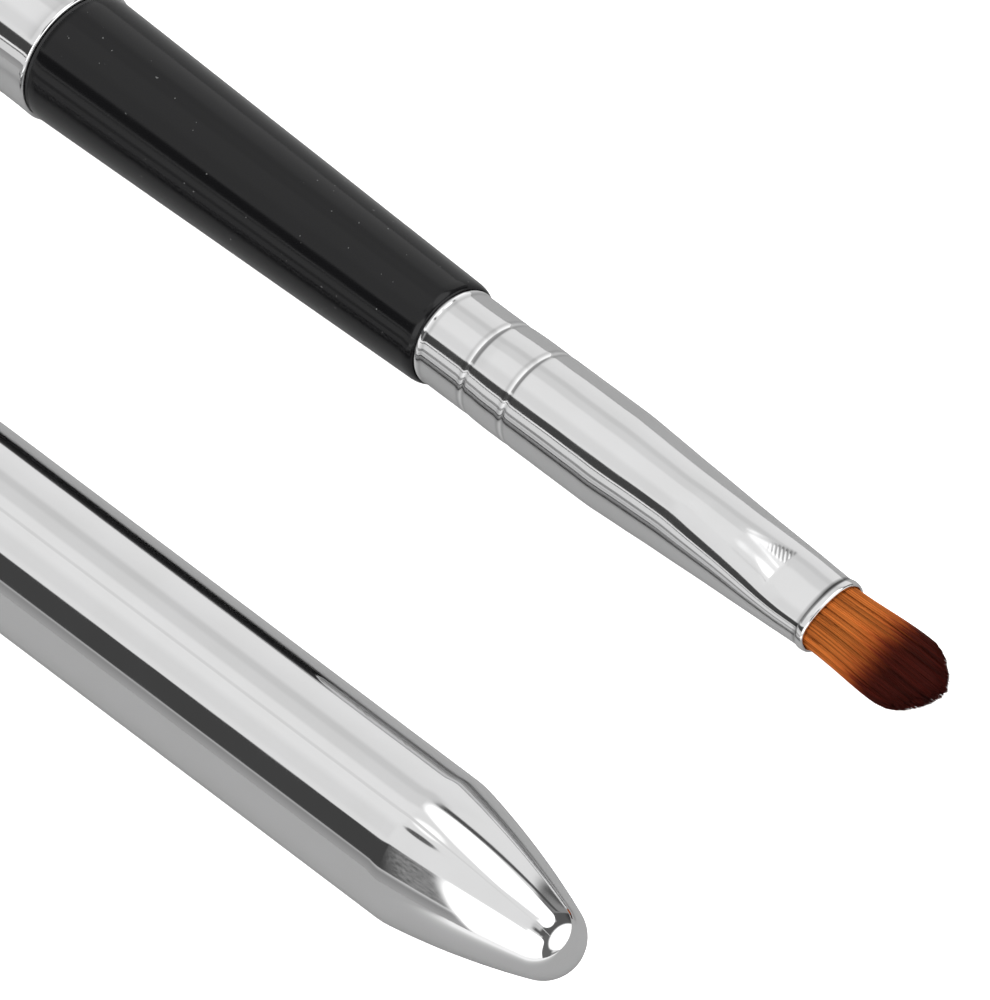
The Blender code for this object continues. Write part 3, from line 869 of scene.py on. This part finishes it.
class Studio:
    """Brightness of the studio by direction, built up card by card."""

    def __init__(self, tree):
        self.tree = tree
        place_node = node(tree, "ShaderNodeTexCoord")
        split = node(tree, "ShaderNodeSeparateXYZ")
        tree.links.new(place_node.outputs["Generated"], split.inputs["Vector"])
        self.lean = split.outputs["X"]
        minus_y = self.math("MULTIPLY", split.outputs["Y"], -1)
        angle = self.math("ARCTAN2", minus_y, split.outputs["Z"])
        self.turn = self.math("MULTIPLY", angle, 180 / math.pi)
        place = self.math("MULTIPLY_ADD", self.turn, 1 / 360, 0.5)
        stops = [((turn + 180) / 360, (level / LEVEL_TOP,) * 3) for turn, level in TENT]
        self.level = ramp(tree, place, stops)

    def math(self, operation, *values):
        return math_node(self.tree, operation, *values)

    def step(self, value, low, high):
        """From 0 at low to 1 at high; low may be the larger."""
        ends = (1.0, 0.0) if low > high else (0.0, 1.0)
        return map_range(self.tree, value, min(low, high), max(low, high), *ends, kind="SMOOTHSTEP")

    def slanted(self, slope):
        """The turn plus the lean times slope: its level lines are slanted edges."""
        return self.math("MULTIPLY_ADD", self.lean, slope, self.turn)

    def both(self, *masks):
        """1 where all the masks are 1."""
        joined = masks[0]
        for mask in masks[1:]:
            joined = self.math("MULTIPLY", joined, mask)
        return joined

    def box(self, turns, leans, turn_soft, lean_soft):
        """1 between two turns and two leans, with soft edges."""
        return self.both(
            self.step(self.turn, turns[0] - turn_soft, turns[0] + turn_soft),
            self.step(self.turn, turns[1] + turn_soft, turns[1] - turn_soft),
            self.step(self.lean, leans[0] - lean_soft, leans[0] + lean_soft),
            self.step(self.lean, leans[1] + lean_soft, leans[1] - lean_soft),
        )

    def oval(self, centre, halves, soft, power=2.0, slope=0.0):
        """1 inside an oval; centre and halves are a turn and a lean, and a power over 2 makes it boxy."""
        across = self.math("MULTIPLY_ADD", self.slanted(slope), 1 / halves[0], -centre[0] / halves[0])
        along = self.math("MULTIPLY_ADD", self.lean, 1 / halves[1], -centre[1] / halves[1])
        total = self.math(
            "ADD",
            self.math("POWER", self.math("ABSOLUTE", across), power),
            self.math("POWER", self.math("ABSOLUTE", along), power),
        )
        return self.step(total, 1 + soft, 1 - soft)

    def paint(self, mask, level):
        """Gives the masked directions a level, or another node's output as their colour."""
        made = node(self.tree, "ShaderNodeMix", data_type="RGBA")
        self.tree.links.new(mask, made.inputs["Factor"])
        self.tree.links.new(self.level, made.inputs["A"])
        number = isinstance(level, (int, float))
        feed(self.tree, made.inputs["B"], grey(level / LEVEL_TOP) if number else level)
        self.level = made.outputs["Result"]


def paint_studio(studio):
    """Two soft boxes ahead of the object, the dark room round them and a dark gap low on the near side."""
    paint, box, oval, step, both = studio.paint, studio.box, studio.oval, studio.step, studio.both
    turn, lean = studio.turn, studio.lean
    # the plain tent above the side bands
    paint(box((-95, 36), (-0.27, 1.2), 3, 0.01), 1.0)
    paint(box((-150, -112), (-0.25, 1.2), 10, 0.06), 0.78)
    paint(box((95, 190), (-0.3, 1.2), 12, 0.06), 0.50)
    paint(both(step(lean, -0.61, -0.67), step(turn, -100, -92), step(turn, 40, 36)), 0.40)
    # the dark room behind the first soft box, a paler bow in it and a dark strip beside the box
    low = step(studio.slanted(-260), -32, -40)
    room = both(step(studio.slanted(-36), -130, -120), low, step(turn, -40, -48))
    paint(room, 0.13)
    paint(both(room, oval((-100, 0.18), (18, 0.2), 0.9)), 0.05)
    paint(both(room, oval((-84, -0.04), (32, 0.10), 0.5, slope=-60)), 0.33)
    paint(both(step(studio.slanted(80), -71, -68), step(studio.slanted(80), -60, -64),
               step(lean, -0.285, -0.265), step(lean, 0.05, -0.05)), 0.10)
    paint(box((-62, 17), (0.37, 0.9), 4, 0.04), 0.13)
    paint(both(step(turn, -16, -8), step(turn, 19, 13), step(lean, 0.07, 0.11), step(lean, 0.5, 0.4)), 0.13)
    paint(box((-9, 8), (0.02, 0.30), 2.5, 0.08), 0.72)
    # the dark arc over the second soft box and the white ceiling beyond
    paint(oval((50, 0.72), (52, 0.22), 0.3, power=2.6), 0.17)
    paint(both(step(studio.slanted(-300), -208, -232), step(turn, -175, -100), step(turn, 62, 40)), WHITE)
    # soft boxes
    paint(oval((-29, 0.09), (21, 0.365), 0.12, power=2.2, slope=-12), WHITE)
    second = both(oval((78, 0.28), (57, 0.42), 0.12, power=6.0), step(turn, 104, 78))
    paint(second, WHITE)
    # the tent's tongue between the boxes
    tongue = both(step(studio.slanted(60), -13.5, -10), step(studio.slanted(40), 31.5, 28.5))
    paint(both(tongue, step(lean, 0.085, 0.06), step(lean, -0.4, -0.3)), 1.0)
    # the dark gap with its speckled end, and a small dark thing beside a white one
    sides = both(step(studio.slanted(13), 34.3, 35.8), step(studio.slanted(4), 72.5, 70.5))
    paint(both(sides, step(lean, -0.14, -0.16)), ranged(studio.tree, speckles(studio), 0.05, 0.24))
    paint(both(sides, step(lean, -0.22, -0.30)), DARK)
    paint(oval((-6, -0.215), (6.5, 0.04), 0.5), 1.5)
    paint(oval((2.8, -0.215), (3.0, 0.04), 0.5, slope=25), 0.14)
    # beyond the cap's far end
    beyond = step(lean, -0.540, -0.550)
    paint(both(beyond, step(turn, -134, -128), step(turn, -108, -114)), 0.06)
    paint(both(beyond, step(turn, -134, -142)), 1.25)


def speckles(studio):
    """Small spots, as long as they are wide on the cap's nose."""
    place = node(studio.tree, "ShaderNodeCombineXYZ")
    studio.tree.links.new(studio.math("MULTIPLY", studio.lean, 150), place.inputs["X"])
    studio.tree.links.new(studio.math("MULTIPLY", studio.turn, 0.25), place.inputs["Y"])
    texture = node(studio.tree, "ShaderNodeTexNoise")
    texture.inputs["Scale"].default_value = 1.0
    texture.inputs["Detail"].default_value = 2.0
    studio.tree.links.new(place.outputs["Vector"], texture.inputs["Vector"])
    return texture.outputs["Fac"]


def make_world():
    world = bpy.data.worlds.new("studio")
    bpy.context.scene.world = world
    world.use_nodes = True
    tree = world.node_tree
    studio = Studio(tree)
    paint_studio(studio)
    path = node(tree, "ShaderNodeLightPath")
    seen = node(tree, "ShaderNodeMix", data_type="RGBA")
    seen.inputs["B"].default_value = grey(WORLD_TO_CAMERA)
    tree.links.new(path.outputs["Is Camera Ray"], seen.inputs["Factor"])
    tree.links.new(studio.level, seen.inputs["A"])
    background = tree.nodes["Background"]
    tree.links.new(seen.outputs["Result"], background.inputs["Color"])
    background.inputs["Strength"].default_value = LEVEL_TOP


# Pale strips over the cap that only mirrors show. They narrow the dark gap on the brush: name, lowest
# and highest Z, and level.
CARDS = (
    ("card_low", 13.7 * MM, 20.5 * MM, 0.9),
    ("card_high", 21.7 * MM, 23.8 * MM, 1.15),
)


def make_card(name, low, high, level):
    y, half = CAP_AXIS[0], 100 * MM
    corners = [(-half, y, low), (half, y, low), (half, y, high), (-half, y, high)]
    made, tree, shader = sheet(name, corners)
    shader.inputs["Base Color"].default_value = (0, 0, 0, 1)
    shader.inputs["Emission Strength"].default_value = level
    made.visible_camera = False
    made.visible_diffuse = False
    made.visible_shadow = False


def make_fill_light():
    """A soft light from above that only lifts the floor and the matt pieces."""
    data = bpy.data.lights.new("fill", "AREA")
    data.shape = "SQUARE"
    data.size = 0.8
    data.energy = 3.0
    made = add_object("fill", data)
    made.location = (0.1, -0.1, 1.0)
    made.visible_glossy = False
    made.visible_camera = False


# The camera looks down the tuft from ahead of it. Its frame is held by three facts about the picture:
# how far the brush leans out of the picture plane, how it is rolled, and where it crosses the frame.
LEAN = math.radians(33.0)
ROLL = math.radians(-15.0)
SLANT = math.radians(36.72)
DISTANCE = 2.8  # metres; from further off, views from other sides would lose the object
VIEW_SPAN = 67.1 * MM  # what the frame's long side takes in, at the brush
AHEAD_OF_LIP = 40.26 * MM
BELOW_BRUSH = 7.06 * MM


def make_camera():
    along = Vector((1, 0, 0))
    across = Vector((0, math.cos(ROLL), -math.sin(ROLL)))
    facing = Vector((0, math.sin(ROLL), math.cos(ROLL)))
    towards = math.sin(LEAN) * along + math.cos(LEAN) * facing
    run = math.cos(LEAN) * along - math.sin(LEAN) * facing
    right = math.cos(SLANT) * run + math.sin(SLANT) * across
    up = -math.sin(SLANT) * run + math.cos(SLANT) * across
    lip = Vector((LIP_X, *BRUSH_AXIS))
    target = lip + AHEAD_OF_LIP * run - BELOW_BRUSH * across
    data = bpy.data.cameras.new("camera")
    data.sensor_width = 36
    data.lens = data.sensor_width * DISTANCE / VIEW_SPAN
    data.clip_start = 0.05
    made = add_object("camera", data)
    turn = Matrix((right, up, towards)).transposed().to_4x4()
    made.matrix_world = Matrix.Translation(target + DISTANCE * towards) @ turn
    bpy.context.scene.camera = made


make_floor()
make_world()
for card in CARDS:
    make_card(*card)
make_fill_light()
make_camera()
bpy.context.scene.view_settings.view_transform = "Standard"
